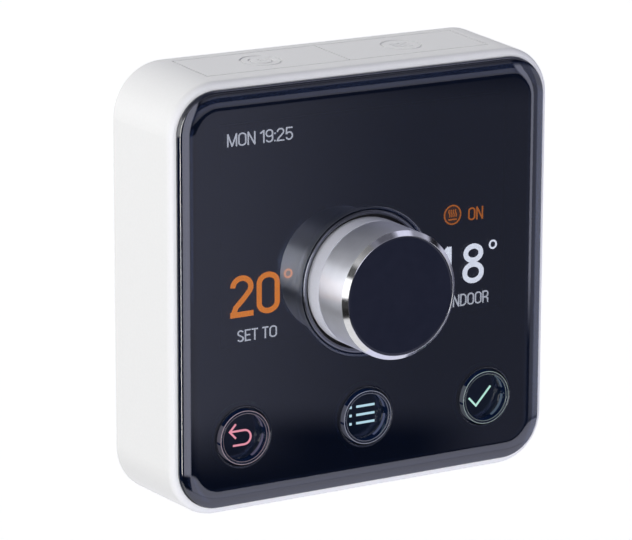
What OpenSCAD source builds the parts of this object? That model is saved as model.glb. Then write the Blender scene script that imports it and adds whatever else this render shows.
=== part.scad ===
// Wall thermostat: a square white case with a pillow-edged dark front lens, a rotary dial
// through its middle, three round push buttons under it and two flush keys on top.
// The head pulls off a screwed wall plate, and four battery cells stand in its back.
// Frame: origin at the middle of the wall plate's back face, Z up, the front looks along -Y.
// "Depth" below is the distance from the wall, so a depth d lies at y = -d.

/* [Case] */
// Width and height over the back edge
case_w = 97; // [90:0.5:105]
// Depth from the wall to the front edge of the white case
case_d = 24.15; // [22:0.05:28]
// Clear space between the case's back edge and the wall
wall_gap = 0.3; // [0.2:0.05:1]
// Corner radius seen from the front
corner_r = 11.8; // [9:0.1:16]
// How much narrower each side is at the front than at the back
draft = 0.8; // [0:0.1:1.2]
// Radius of the front edge
front_round = 1.6; // [0.8:0.1:2.4]
// Half width of the hollow inside
hollow_half = 46.2; // [45:0.1:46.8]
// Half width of the front opening
opening_half = 43.4; // [42:0.1:44.5]

/* [Lens] */
// Width and height of the lens
lens_w = 92.2; // [88:0.1:94]
// Thickness of the lens in the middle
lens_t = 1.7; // [1.4:0.1:2.4]
// Width of the rounded border
pillow_w = 4.2; // [3:0.1:6]
// Radius of the lens's outer edge
lens_edge_r = 0.9; // [0.5:0.05:1.2]
// Gap between the case and the lens, filled by the adhesive
seam = 0.15; // [0.1:0.05:0.3]

/* [Dial] */
// Diameter of the metal sleeve
dial_d = 28.6; // [24:0.2:32]
// How far the dial stands in front of the lens face
dial_out = 14.15; // [10:0.05:18]
// Width of the polished front bevel
dial_bevel = 1.05; // [0.5:0.05:1.5]
// Diameter of the lens hole behind its rounded edge
dial_hole_d = 32; // [28:0.2:36]
// Radius of the lens hole's rounded edge
dial_hole_round = 0.8; // [0.3:0.05:1]

/* [Buttons and keys] */
// Diameter of a front button
button_d = 12.5; // [10:0.1:15]
// How far a front button stands in front of the lens face
button_out = 0.8; // [0.4:0.1:3]
// Distance from the middle button to each outer one
button_pitch = 30.9; // [28:0.1:33]
// Height of the button row below the middle of the front
button_drop = 30.6; // [28:0.1:34]
// Groove round a top key
key_gap = 0.3; // [0.2:0.05:0.5]
// Half the length of the pair of top keys
keys_half = 35.2; // [28:0.1:36]
// Depth of the keys' back edge
key_back = 3.0; // [2:0.1:6]
// Depth of the keys' front edge
key_front = 18.3; // [14:0.1:20]

/* [Screen] */
// Width of the display
display_w = 71.4; // [60:0.2:74]
// Height of the display's lower edge
display_low = -10.3; // [-12:0.1:0]
// Height of the display's upper edge
display_high = 38.1; // [30:0.1:40]
// Radius of the display's round notch for the dial
display_notch_r = 17.4; // [16:0.1:19]

/* [Wall plate] */
// Width and height of the wall plate
plate_w = 84; // [80:1:86]
// Thickness of the wall plate
plate_t = 2.0; // [1.5:0.1:2.4]
// Distance between opposite wall screws
screw_pitch = 60.3; // [50:0.1:65]
// Width of a wall screw hole
screw_hole_d = 4.4; // [3.5:0.1:5]
// Length of a side screw slot
screw_slot = 9; // [6:0.5:12]

/* [Battery bay] */
// Diameter of a cell
cell_d = 14.2; // [13.5:0.1:14.5]
// Length of a cell's can
cell_l = 48.8; // [45:0.1:50]
// Depth of the cell axis
cell_depth = 10.6; // [9:0.1:11]

/* [Hidden] */
$fn = 96;
face = case_d + seam + lens_t;
lens_back = case_d + seam;
lens_half = lens_w / 2;
case_half = case_w / 2;
corner_c = case_half - corner_r;
dial_r = dial_d / 2;
dial_front = face + dial_out;
dial_back = 24.7;
button_r = button_d / 2;
button_x = [-button_pitch, 0, button_pitch];
boss_c = 39;
board_back = 20.0;
board_front = 21.2;
board_half = 42.2;
frame_back = 21.4;
frame_front = 24.1;
cover_back = 3.0;
cover_front = 4.6;
bay_in_x = 7.6;
bay_out_x = 37.2;
bay_half_z = 28.7;
bay_floor = 18.0;
cell_x = [-29.75, -15.05, 15.05, 29.75];
spring_turn = 0.87;
key_mid_x = 17.7;
key_post_depth = 17.0;
peg_x = 20;
peg_z = 37;
board_screw_x = 40.2;
board_screw_z = 32;

// Draws a flat shape across X and Z and gives it the depth range d0 to d1.
module slab(d0, d1) {
    translate([0, -d0, 0])
        rotate([90, 0, 0])
            linear_extrude(height = d1 - d0)
                children();
}

// A round bar along the depth at x, z.
module bar(x, z, r, d0, d1) {
    translate([x, -d0, z])
        rotate([90, 0, 0])
            cylinder(r = r, h = d1 - d0);
}

// A box from its limits; depth counts from the wall.
module block(x0, x1, d0, d1, z0, z1) {
    translate([x0, -d1, z0])
        cube([x1 - x0, d1 - d0, z1 - z0]);
}

// A square with exact rounded corners.
module round_square(half, r) {
    square([2 * half, 2 * (half - r)], center = true);
    square([2 * (half - r), 2 * half], center = true);
    for (x = [-1, 1])
        for (y = [-1, 1])
            translate([x * (half - r), y * (half - r)])
                circle(r = r);
}

// Carries a 2D profile round a rounded square. The profile's X counts outward from the corner
// centres and its Y is the depth; inside the corner centres the shape is solid from d0 to d1.
module carried(c, d0, d1) {
    for (k = [0 : 3])
        rotate([0, k * 90, 0]) {
            translate([c, 0, c])
                rotate([90, 0, 0])
                    rotate_extrude(angle = 90)
                        children();
            translate([c, 0, -c])
                rotate([90, 0, 0])
                    rotate([90, 0, 180])
                        mirror([1, 0, 0])
                            linear_extrude(height = 2 * c)
                                children();
        }
    slab(d0, d1)
        square([2 * c, 2 * c], center = true);
}

// Side of the case: a straight drafted wall with a rounded front edge.
module case_profile() {
    slope = atan(draft / (case_d - wall_gap));
    round_d = case_d - front_round;
    wall_at_round = corner_r - (round_d - wall_gap) * tan(slope);
    round_u = wall_at_round - front_round / cos(slope);
    touch_u = round_u + front_round * cos(slope);
    touch_d = round_d + front_round * sin(slope);
    polygon([[0, wall_gap], [corner_r, wall_gap], [touch_u, touch_d], [round_u, round_d],
             [round_u, case_d], [0, case_d]]);
    intersection() {
        translate([round_u, round_d])
            circle(r = front_round);
        polygon([[round_u, round_d], [touch_u, touch_d], [corner_r, touch_d],
                 [corner_r, case_d + 1], [round_u, case_d + 1]]);
    }
}

// Side of the lens: a short upright edge, a small radius and a wide shallow arc to the face.
module lens_profile() {
    u = lens_half - corner_c;
    r = lens_edge_r;
    base = lens_back + 0.2;
    drop = face - base;
    wide = pillow_w - r;
    big = (wide * wide + drop * drop - r * r) / (2 * (drop - r));
    a = asin(wide / (big - r));
    big_u = u - pillow_w;
    big_d = face - big;
    join_u = big_u + big * sin(a);
    join_d = big_d + big * cos(a);
    polygon([[0, lens_back], [u, lens_back], [u, base], [u - r, base], [join_u, join_d],
             [join_u, base], [0, base]]);
    intersection() {
        translate([u - r, base])
            circle(r = r);
        polygon([[u - r, base], [u + 1, base], [u + 1, face], [join_u + 0.5, face],
                 [join_u, join_d]]);
    }
    intersection() {
        translate([big_u, big_d])
            circle(r = big);
        polygon([[big_u, base], [join_u, base], [join_u, face + 1], [big_u, face + 1]]);
    }
    polygon([[0, base], [big_u, base], [big_u, face], [0, face]]);
}

module case_solid() {
    carried(corner_c, wall_gap, case_d)
        case_profile();
}

module wall_plate() {
    color("white")
        difference() {
            union() {
                slab(0, plate_t)
                    round_square(plate_w / 2, 8);
                for (x = [-1, 1])
                    for (z = [-1, 1])
                        block(x * peg_x - 3, x * peg_x + 3, plate_t, 5.6,
                              z * peg_z - 1.2, z * peg_z + 1.2);
            }
            for (x = [-1, 1]) {
                translate([x * screw_pitch / 2, 0, 0])
                    slab(-1, plate_t + 1) {
                        square([screw_slot - screw_hole_d, screw_hole_d], center = true);
                        for (e = [-1, 1])
                            translate([e * (screw_slot - screw_hole_d) / 2, 0])
                                circle(d = screw_hole_d);
                    }
                translate([x * screw_pitch / 2, 0, 0])
                    slab(1.2, plate_t + 1) {
                        square([screw_slot - screw_hole_d, 9], center = true);
                        for (e = [-1, 1])
                            translate([e * (screw_slot - screw_hole_d) / 2, 0])
                                circle(d = 9);
                    }
                bar(0, x * screw_pitch / 2, screw_hole_d / 2, -1, plate_t + 1);
                bar(0, x * screw_pitch / 2, 4.5, 1.2, plate_t + 1);
            }
        }
}

module body_shell() {
    color("white")
        difference() {
            union() {
                difference() {
                    case_solid();
                    slab(-1, 21)
                        round_square(hollow_half, 9.5);
                    slab(20, case_d + 1)
                        round_square(opening_half, 8);
                }
                for (k = [0 : 3])
                    rotate([0, k * 90, 0]) {
                        bar(boss_c, boss_c, 3.2, 6.2, 19.6);
                        translate([boss_c, 0, boss_c])
                            rotate([0, -45, 0])
                                block(2, 6.9, 6.2, 19.6, -1, 1);
                    }
            }
            block(-keys_half - key_gap, keys_half + key_gap, key_back - key_gap,
                  key_front + key_gap, hollow_half - 1, case_half + 1);
            for (k = [0 : 3])
                rotate([0, k * 90, 0])
                    bar(boss_c, boss_c, 1.3, 6, 16);
            for (k = [-3 : 3])
                block(k * 6 - 0.7, k * 6 + 0.7, 8, 17, -case_half - 1, -hollow_half + 1);
        }
}

module rear_cover() {
    color("white")
        difference() {
            union() {
                slab(cover_back, cover_front)
                    round_square(45.9, 9.2);
                for (s = [-1, 1])
                    block(s * (bay_in_x + bay_out_x) / 2 - 16, s * (bay_in_x + bay_out_x) / 2 + 16,
                          cover_front - 1, bay_floor + 1.2, -bay_half_z - 1.2, bay_half_z + 1.2);
                for (x = [-1, 1])
                    for (z = [-1, 1])
                        bar(x * boss_c, z * boss_c, 4.4, cover_front - 1, 6.1);
            }
            for (s = [-1, 1])
                block(s * (bay_in_x + bay_out_x) / 2 - 14.8, s * (bay_in_x + bay_out_x) / 2 + 14.8,
                      cover_back - 1, bay_floor, -bay_half_z, bay_half_z);
            for (x = cell_x)
                block(x - 1.5, x + 1.5, bay_floor - 1, bay_floor + 3, -28.9, -27.9);
            for (x = [-1, 1])
                for (z = [-1, 1]) {
                    bar(x * boss_c, z * boss_c, 1.6, 2, 7);
                    bar(x * boss_c, z * boss_c, 2.9, 2, 4.5);
                    block(x * peg_x - 3.3, x * peg_x + 3.3, 2, 7,
                          z * peg_z - 1.5, z * peg_z + 1.5);
                }
        }
}

module front_lens() {
    color([0.08, 0.09, 0.14])
        difference() {
            carried(corner_c, lens_back, face)
                lens_profile();
            bar(0, 0, dial_hole_d / 2, lens_back - 1, face + 1);
            translate([0, -face, 0])
                rotate([90, 0, 0])
                    rotate_extrude()
                        difference() {
                            translate([0, -dial_hole_round])
                                square([dial_hole_d / 2 + dial_hole_round, dial_hole_round + 1]);
                            translate([dial_hole_d / 2 + dial_hole_round, -dial_hole_round])
                                circle(r = dial_hole_round);
                        }
            for (x = button_x)
                bar(x, -button_drop, button_r + 0.25, lens_back - 1, face + 1);
        }
}

module lens_adhesive() {
    color("black")
        difference() {
            slab(case_d + 0.02, lens_back - 0.02)
                round_square(45.2, 8.9);
            slab(case_d - 1, lens_back + 1)
                round_square(43.7, 8.2);
        }
}

// Outline of the display with its round notch, grown by g.
module display_outline(g) {
    difference() {
        translate([-display_w / 2 - g, display_low - g])
            square([display_w + 2 * g, display_high - display_low + 2 * g]);
        circle(r = display_notch_r - g);
    }
}

module front_frame() {
    color("dimgray")
        difference() {
            slab(frame_back, frame_front)
                round_square(43.1, 7.7);
            slab(frame_back - 1, frame_front + 1)
                display_outline(0.4);
            bar(0, 0, 9, frame_back - 1, frame_front + 1);
            for (x = button_x)
                bar(x, -button_drop, 7.9, frame_back - 1, frame_front + 1);
            block(-8.6, 8.6, frame_back - 1, 22.7, display_high, 42);
            for (x = [-1, 1])
                for (z = [-1, 1])
                    bar(x * board_screw_x, z * board_screw_z, 0.95, frame_back - 1, 23.5);
        }
}

module display_panel() {
    color([0.1, 0.1, 0.2])
        slab(22.9, 23.9)
            display_outline(0);
}

module display_backlight() {
    color("white")
        slab(21.5, 22.8)
            display_outline(-0.3);
}

module display_ribbon() {
    color("orange")
        translate([-8, 0, 0])
            rotate([90, 0, 90])
                linear_extrude(height = 16) {
                    translate([-22.2, display_high + 0.05])
                        square([0.15, 40 - display_high - 0.05]);
                    translate([-19.35, 36.65])
                        square([0.15, 3.35]);
                    difference() {
                        translate([-20.7, 40])
                            circle(r = 1.5);
                        translate([-20.7, 40])
                            circle(r = 1.35);
                        translate([-23, 37])
                            square([5, 3]);
                    }
                }
}

module display_connector() {
    color("ivory")
        block(-9, 9, 18.9, 19.95, 33, 36.6);
}

module main_board() {
    color("green")
        difference() {
            slab(board_back, board_front)
                round_square(board_half, 7);
            for (x = [-1, 1])
                for (z = [-1, 1])
                    bar(x * board_screw_x, z * board_screw_z, 1.1, board_back - 1, board_front + 1);
            block(-9.2, 9.2, board_back - 1, board_front + 1, 39.2, 43);
        }
}

module board_chips() {
    color("black") {
        block(-27, -17, 18.95, 19.95, -41, -31.5);
        block(-12.5, -7.5, 19.05, 19.95, -36, -32);
        block(-33, -29.5, 19.15, 19.95, 34, 37);
        block(27, 33, 19.0, 19.95, 32, 36);
        block(-14, -10.5, 19.25, 19.95, -41, -38.5);
    }
}

module radio_module() {
    color("silver")
        union() {
            block(13, 31, 19.15, 19.95, -41.5, -31);
            block(14, 26, 17.6, 19.2, -41, -31.5);
        }
}

module temperature_sensor() {
    color("black")
        union() {
            translate([0, -18.3, -41.4])
                sphere(r = 1.1);
            bar(-0.6, -41.4, 0.22, 18.3, 19.95);
            bar(0.6, -41.4, 0.22, 18.3, 19.95);
        }
}

module button_leds() {
    color("white")
        for (x = button_x)
            for (s = [-1, 1])
                block(x + s * 4.6 - 0.8, x + s * 4.6 + 0.8, board_front + 0.05, 21.9,
                      -button_drop - 0.4, -button_drop + 0.4);
}

module front_switches() {
    color("silver")
        for (x = button_x)
            difference() {
                block(x - 2.6, x + 2.6, board_front + 0.05, 22.35,
                      -button_drop - 2.6, -button_drop + 2.6);
                bar(x, -button_drop, 1.47, 21.36, 23);
            }
}

module top_switches() {
    color("black")
        for (s = [-1, 1])
            difference() {
                block(s * key_mid_x - 3, s * key_mid_x + 3, 14.6, 19.95, 38.6, 42.6);
                translate([s * key_mid_x, -key_post_depth, 40.6])
                    cylinder(r = 1.35, h = 3);
            }
}

module encoder_body() {
    color("silver")
        difference() {
            union() {
                block(-6, 6, board_front + 0.05, 26.2, -6, 6);
                bar(0, 0, 3.5, 26, 31);
            }
            bar(0, 0, 3.06, 22.5, 32);
        }
}

module encoder_shaft() {
    color("silver")
        difference() {
            bar(0, 0, 3, 22.6, 37);
            block(-4, 4, 31.6, 38, 1.5, 4);
        }
}

module dial_hub() {
    color("dimgray")
        difference() {
            union() {
                difference() {
                    bar(0, 0, dial_r - 1.2, 25.4, 38.55);
                    bar(0, 0, dial_r - 2.2, 24, 36);
                }
                bar(0, 0, 5.2, 31.6, 37);
            }
            difference() {
                bar(0, 0, 3.03, 31, 37.15);
                block(-4, 4, 30, 38, 1.53, 4);
            }
        }
}

module dial_sleeve() {
    color("silver")
        translate([0, -dial_back, 0])
            rotate([90, 0, 0])
                rotate_extrude()
                    polygon([[dial_r - 1.15, 0], [dial_r - 0.15, 0], [dial_r, 0.15],
                             [dial_r, 4.5], [dial_r - 0.18, 4.6], [dial_r - 0.18, 4.75],
                             [dial_r, 4.85], [dial_r, dial_front - dial_bevel - dial_back],
                             [dial_r - dial_bevel, dial_front - dial_back],
                             [dial_r - 1.15, dial_front - dial_back]]);
}

module dial_cap() {
    color([0.06, 0.07, 0.1])
        bar(0, 0, dial_r - 1.2, 38.6, dial_front - 0.03);
}

module button_cap(x) {
    color([0.5, 0.55, 0.6])
        translate([x, -23.3, -button_drop])
            rotate([90, 0, 0])
                rotate_extrude()
                    polygon([[0, 0], [7.2, 0], [7.2, 0.7], [button_r, 0.7],
                             [button_r, face + button_out - 0.3 - 23.3],
                             [button_r - 0.3, face + button_out - 23.3],
                             [0, face + button_out - 23.3]]);
}

module plunger(x) {
    color("black")
        bar(x, -button_drop, 1.4, 22.0, 23.25);
}

module back_button() {
    button_cap(button_x[0]);
}

module menu_button() {
    button_cap(button_x[1]);
}

module confirm_button() {
    button_cap(button_x[2]);
}

module back_plunger() {
    plunger(button_x[0]);
}

module menu_plunger() {
    plunger(button_x[1]);
}

module confirm_plunger() {
    plunger(button_x[2]);
}

// A top key on the side s: it follows the case's own surface and has a post for its switch.
module top_key(s) {
    color("white")
        union() {
            intersection() {
                case_solid();
                block(min(s * key_gap / 2, s * keys_half), max(s * key_gap / 2, s * keys_half),
                      key_back, key_front, hollow_half + 0.1, case_half + 1);
            }
            translate([s * key_mid_x, -key_post_depth, 44.95])
                cylinder(r = 1.25, h = 1.6);
        }
}

module key_plunger(s) {
    color("black")
        translate([s * key_mid_x, -key_post_depth, 41.3])
            cylinder(r = 1.0, h = 3.6);
}

module left_key() {
    top_key(-1);
}

module right_key() {
    top_key(1);
}

module left_key_plunger() {
    key_plunger(-1);
}

module right_key_plunger() {
    key_plunger(1);
}

// A cell on the axis x; s says which end its button contact is on.
module cell(x, s) {
    color("darkorange")
        translate([x, -cell_depth, 0])
            rotate([s > 0 ? 0 : 180, 0, 0])
                union() {
                    translate([0, 0, -cell_l / 2])
                        cylinder(d = cell_d, h = cell_l);
                    translate([0, 0, cell_l / 2 - 0.5])
                        cylinder(d = 5.2, h = 1.7);
                    translate([0, 0, -cell_l / 2 - 0.2])
                        cylinder(d = 9, h = 0.5);
                }
}

module battery_1() {
    cell(cell_x[0], 1);
}

module battery_2() {
    cell(cell_x[1], -1);
}

module battery_3() {
    cell(cell_x[2], 1);
}

module battery_4() {
    cell(cell_x[3], -1);
}

// Contact springs, each a stack of widening turns against a cell's flat end.
module battery_springs() {
    color("silver")
        for (k = [0 : 3])
            translate([cell_x[k], -cell_depth, 0])
                rotate([k % 2 == 0 ? 180 : 0, 0, 0])
                    for (t = [0 : 3])
                        translate([0, 0, cell_l / 2 + 0.25 + t * spring_turn])
                            difference() {
                                cylinder(r = 2.6 + t * 0.55, h = spring_turn);
                                translate([0, 0, -1])
                                    cylinder(r = 1.9 + t * 0.55, h = 3);
                            }
}

module battery_contacts() {
    color("silver") {
        for (s = [-1, 1])
            block(s * 22.4 - 11.5, s * 22.4 + 11.5, 6, 15.2, 28.2, 28.6);
        for (k = [0 : 3])
            union() {
                block(cell_x[k] - 4.5, cell_x[k] + 4.5, 6, 15.2, -28.6, -28.2);
                block(cell_x[k] - 1, cell_x[k] + 1, 15, 19.95, -28.6, -28.2);
            }
        for (k = [0 : 3])
            translate([cell_x[k], -cell_depth, 0])
                rotate([k % 2 == 0 ? 0 : 180, 0, 0])
                    translate([0, 0, cell_l / 2 + 1.3])
                        cylinder(r1 = 2.4, r2 = 3.4, h = 28.3 - cell_l / 2 - 1.3);
    }
}

// A pan-head screw along the depth with a cross slot; its head ends at depth d.
module screw(x, z, head_r, head_h, shank_r, d, len) {
    difference() {
        union() {
            bar(x, z, head_r, d - head_h, d);
            bar(x, z, shank_r, d - 0.1, d + len);
        }
        block(x - head_r * 0.6, x + head_r * 0.6, d - head_h - 1, d - head_h + 0.5, z - 0.25, z + 0.25);
        block(x - 0.25, x + 0.25, d - head_h - 1, d - head_h + 0.5, z - head_r * 0.6, z + head_r * 0.6);
    }
}

module case_screws() {
    color("silver")
        for (x = [-1, 1])
            for (z = [-1, 1])
                screw(x * boss_c, z * boss_c, 2.6, 1.3, 1.25, 4.45, 9);
}

module board_screws() {
    color("silver")
        for (x = [-1, 1])
            for (z = [-1, 1])
                screw(x * board_screw_x, z * board_screw_z, 1.8, 1.1, 0.9, 19.95, 3.3);
}

wall_plate();
body_shell();
rear_cover();
front_lens();
lens_adhesive();
front_frame();
display_panel();
display_backlight();
display_ribbon();
display_connector();
main_board();
board_chips();
radio_module();
temperature_sensor();
button_leds();
front_switches();
top_switches();
encoder_body();
encoder_shaft();
dial_hub();
dial_sleeve();
dial_cap();
back_button();
menu_button();
confirm_button();
back_plunger();
menu_plunger();
confirm_plunger();
left_key();
right_key();
left_key_plunger();
right_key_plunger();
battery_1();
battery_2();
battery_3();
battery_4();
battery_springs();
battery_contacts();
case_screws();
board_screws();
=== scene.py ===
"""Looks for the wall thermostat: lens, dial, buttons, screen signs, keys and materials."""
import math

import bmesh
import bpy
from mathutils import Matrix, Vector
from mathutils.geometry import delaunay_2d_cdt


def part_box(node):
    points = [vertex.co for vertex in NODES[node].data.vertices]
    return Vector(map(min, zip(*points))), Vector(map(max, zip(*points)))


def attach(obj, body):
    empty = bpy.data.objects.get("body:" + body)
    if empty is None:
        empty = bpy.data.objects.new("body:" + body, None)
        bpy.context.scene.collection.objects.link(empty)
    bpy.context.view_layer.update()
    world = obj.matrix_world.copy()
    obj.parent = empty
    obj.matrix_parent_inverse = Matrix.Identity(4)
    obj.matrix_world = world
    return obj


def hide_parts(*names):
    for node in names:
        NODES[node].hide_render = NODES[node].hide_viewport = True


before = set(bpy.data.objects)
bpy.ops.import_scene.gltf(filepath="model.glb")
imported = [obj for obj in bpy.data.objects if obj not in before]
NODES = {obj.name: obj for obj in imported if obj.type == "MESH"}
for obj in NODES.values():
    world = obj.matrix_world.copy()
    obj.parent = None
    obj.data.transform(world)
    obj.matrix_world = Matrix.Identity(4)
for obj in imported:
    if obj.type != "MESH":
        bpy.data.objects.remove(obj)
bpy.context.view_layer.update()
MM = 0.001
SCENE = bpy.context.scene
SCENE.view_settings.view_transform = "Standard"
SCENE.view_settings.look = "None"


# ---------------------------------------------------------------- camera
CAMERA_AT = Vector((-423.2, -721.7, 213.05)) * MM
CAMERA_YAW = 30.53        # degrees to the right of the wall's normal
CAMERA_PITCH = 14.49      # degrees down
CAMERA_ROLL = 0.17
CAMERA_LENS = 220.15      # mm on a 36 mm wide sensor

camera = bpy.data.objects.new("camera", bpy.data.cameras.new("camera"))
SCENE.collection.objects.link(camera)
camera.data.lens = CAMERA_LENS
camera.data.sensor_width = 36.0
camera.data.clip_start = 0.05
camera.data.clip_end = 20.0
camera.matrix_world = (
    Matrix.Translation(CAMERA_AT)
    @ Matrix.Rotation(math.radians(-CAMERA_YAW), 4, "Z")
    @ Matrix.Rotation(math.radians(90 - CAMERA_PITCH), 4, "X")
    @ Matrix.Rotation(math.radians(CAMERA_ROLL), 4, "Z")
)
SCENE.camera = camera


# ---------------------------------------------------------------- materials
def material(name, color, rough=0.5, metal=0.0, **sockets):
    """A material with one Principled shader and its plain values."""
    m = bpy.data.materials.new(name)
    m.use_nodes = True
    b = m.node_tree.nodes["Principled BSDF"]
    b.inputs["Base Color"].default_value = (*color, 1.0)
    b.inputs["Roughness"].default_value = rough
    b.inputs["Metallic"].default_value = metal
    for key, value in sockets.items():
        b.inputs[key.replace("_", " ")].default_value = value
    return m


def shader(m):
    return m.node_tree.nodes["Principled BSDF"]


def add(m, kind, **values):
    node = m.node_tree.nodes.new(kind)
    for key, value in values.items():
        if key in node.inputs:
            node.inputs[key].default_value = value
        else:
            setattr(node, key, value)
    return node


def link(m, a, b):
    m.node_tree.links.new(a, b)


def grain(m, size, color_a, color_b, rough=None, bump=0.0, distance=0.00002, detail=3.0):
    """Fine mottling of colour, roughness and height, about size metres across."""
    coords = add(m, "ShaderNodeTexCoord")
    noise = add(m, "ShaderNodeTexNoise", Scale=1.0 / size, Detail=detail, Roughness=0.55)
    link(m, coords.outputs["Object"], noise.inputs["Vector"])
    ramp = add(m, "ShaderNodeMapRange")
    ramp.inputs["From Min"].default_value = 0.3
    ramp.inputs["From Max"].default_value = 0.7
    link(m, noise.outputs["Fac"], ramp.inputs["Value"])
    mix = add(m, "ShaderNodeMix", data_type="RGBA")
    mix.inputs["A"].default_value = (*color_a, 1.0)
    mix.inputs["B"].default_value = (*color_b, 1.0)
    link(m, ramp.outputs["Result"], mix.inputs["Factor"])
    link(m, mix.outputs["Result"], shader(m).inputs["Base Color"])
    if rough:
        r = add(m, "ShaderNodeMapRange")
        r.inputs["To Min"].default_value, r.inputs["To Max"].default_value = rough
        link(m, ramp.outputs["Result"], r.inputs["Value"])
        link(m, r.outputs["Result"], shader(m).inputs["Roughness"])
    if bump:
        b = add(m, "ShaderNodeBump", Strength=bump, Distance=distance)
        link(m, noise.outputs["Fac"], b.inputs["Height"])
        link(m, b.outputs["Normal"], shader(m).inputs["Normal"])
    return m


def glow(name, color, strength):
    """An even light over a near-black, finely mottled base, for the lit signs and for the painted glow on
    the buttons.
    """
    m = grain(material(name, (0.0, 0.0, 0.0), 0.6), 0.0005,
              (0.0, 0.0, 0.0), (0.010, 0.010, 0.011), (0.5, 0.7))
    shader(m).inputs["Emission Color"].default_value = (*color, 1.0)
    shader(m).inputs["Emission Strength"].default_value = strength
    return m


WHITE = grain(material("case_white", (0.8, 0.8, 0.8), 0.42), 0.0006,
              (0.79, 0.79, 0.79), (0.81, 0.81, 0.81), (0.38, 0.46), 0.12)
PLATE = grain(material("plate_white", (0.8, 0.8, 0.79), 0.55), 0.0008,
              (0.77, 0.77, 0.76), (0.81, 0.81, 0.8), (0.5, 0.62), 0.2)
# the lens's tint is its own; its faint blue emission is a painted glow over its whole surface
LENS = grain(material("lens_smoke", (0.10, 0.14, 0.25), 0.0, IOR=1.9, Transmission_Weight=1.0,
                      Emission_Color=(0.05, 0.26, 1.0, 1.0), Emission_Strength=0.004), 0.006,
             (0.098, 0.138, 0.246), (0.102, 0.142, 0.254))
FLOOR_PAINT = grain(material("button_floor", (0.006, 0.010, 0.018), 0.5, Specular_IOR_Level=0.1), 0.0008,
                    (0.004, 0.008, 0.014), (0.008, 0.013, 0.022), (0.45, 0.6))
LIP = grain(material("lens_lip", (0.15, 0.155, 0.18), 0.18, 0.9), 0.001,
            (0.125, 0.13, 0.155), (0.14, 0.145, 0.17), (0.15, 0.22))
BLACK = grain(material("frame_black", (0.025, 0.025, 0.03), 0.6, Specular_IOR_Level=0.1), 0.0005,
              (0.022, 0.022, 0.026), (0.030, 0.030, 0.034), (0.55, 0.65), 0.2)
SCREEN = grain(material("display_glass", (0.03, 0.03, 0.04), 0.4, Specular_IOR_Level=0.1), 0.004,
               (0.034, 0.034, 0.042), (0.038, 0.038, 0.046), (0.36, 0.44))
DIAL_BASE = grain(material("dial_blasted", (0.9, 0.9, 0.95), 0.45, 0.12), 0.0004,
                  (0.87, 0.88, 0.96), (0.91, 0.92, 1.0), (0.4, 0.5), 0.1)
METAL = grain(material("dial_aluminium", (0.8, 0.8, 0.82), 0.4, 0.85,
                       Anisotropic=0.9, Anisotropic_Rotation=0.25), 0.002,
              (0.86, 0.87, 0.93), (0.89, 0.90, 0.96), (0.38, 0.43))
POLISHED = grain(material("dial_polished", (0.85, 0.85, 0.87), 0.08, 1.0), 0.001,
                 (0.68, 0.68, 0.70), (0.74, 0.74, 0.76), (0.08, 0.12))
link(METAL, add(METAL, "ShaderNodeTangent", direction_type="RADIAL", axis="Y").outputs[0],
     shader(METAL).inputs["Tangent"])
CAP = grain(material("dial_cap_dark", (0.01, 0.012, 0.02), 0.08, Specular_IOR_Level=0.3), 0.003,
            (0.010, 0.012, 0.024), (0.012, 0.014, 0.027), (0.05, 0.08))
# the caps' faint blue emission is a painted glow over the whole clear cup
CLEAR = grain(material("button_clear", (0.30, 0.35, 0.52), 0.02, IOR=1.49, Transmission_Weight=1.0,
                       Emission_Color=(0.1, 0.3, 1.0, 1.0), Emission_Strength=0.008), 0.002,
              (0.29, 0.34, 0.505), (0.31, 0.36, 0.535), (0.015, 0.025))
STEEL = grain(material("steel", (0.62, 0.62, 0.63), 0.3, 1.0), 0.001,
              (0.58, 0.58, 0.59), (0.68, 0.68, 0.69), (0.24, 0.38))


def mottled(name, color, spread, size, rough, bump=0.1, metal=0.0):
    """A material whose colour varies by the given share and whose roughness varies over a range."""
    low, high = [tuple(min(c * k, 1.0) for c in color) for k in (1.0 - spread, 1.0 + spread)]
    return grain(material(name, color, rough[0], metal), size, low, high, rough, bump)


def two_tone(m, fac, color_a, color_b):
    """Drives the base colour between two colours."""
    mix = add(m, "ShaderNodeMix", data_type="RGBA")
    mix.inputs["A"].default_value = (*color_a, 1.0)
    mix.inputs["B"].default_value = (*color_b, 1.0)
    link(m, fac, mix.inputs["Factor"])
    link(m, mix.outputs["Result"], shader(m).inputs["Base Color"])
    return m


def step(m, value, low, high, invert=False):
    """A ramp from 0 to 1, or from 1 to 0, as value goes from low to high."""
    node = add(m, "ShaderNodeMapRange")
    node.inputs["From Min"].default_value, node.inputs["From Max"].default_value = low, high
    if invert:
        node.inputs["To Min"].default_value, node.inputs["To Max"].default_value = 1.0, 0.0
    link(m, value, node.inputs["Value"])
    return node.outputs["Result"]


def board_paint():
    """Green solder mask over paler copper runs."""
    m = mottled("board_green", (0.02, 0.14, 0.06), 0.1, 0.002, (0.32, 0.42), 0.1)
    coords = add(m, "ShaderNodeTexCoord")
    cells = add(m, "ShaderNodeTexVoronoi", feature="DISTANCE_TO_EDGE", Scale=330.0)
    link(m, coords.outputs["Object"], cells.inputs["Vector"])
    mask = step(m, cells.outputs["Distance"], 0.05, 0.09)
    return two_tone(m, mask, (0.05, 0.24, 0.10), (0.016, 0.115, 0.05))


def ribbon_paint():
    """Amber film with fine conductors along it."""
    m = mottled("ribbon_amber", (0.55, 0.26, 0.05), 0.08, 0.001, (0.25, 0.35), 0.05)
    coords = add(m, "ShaderNodeTexCoord")
    lines = add(m, "ShaderNodeTexWave", bands_direction="X", Scale=420.0)
    link(m, coords.outputs["Object"], lines.inputs["Vector"])
    film = step(m, lines.outputs["Fac"], 0.4, 0.6)
    return two_tone(m, film, (0.60, 0.30, 0.06), (0.38, 0.16, 0.03))


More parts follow.
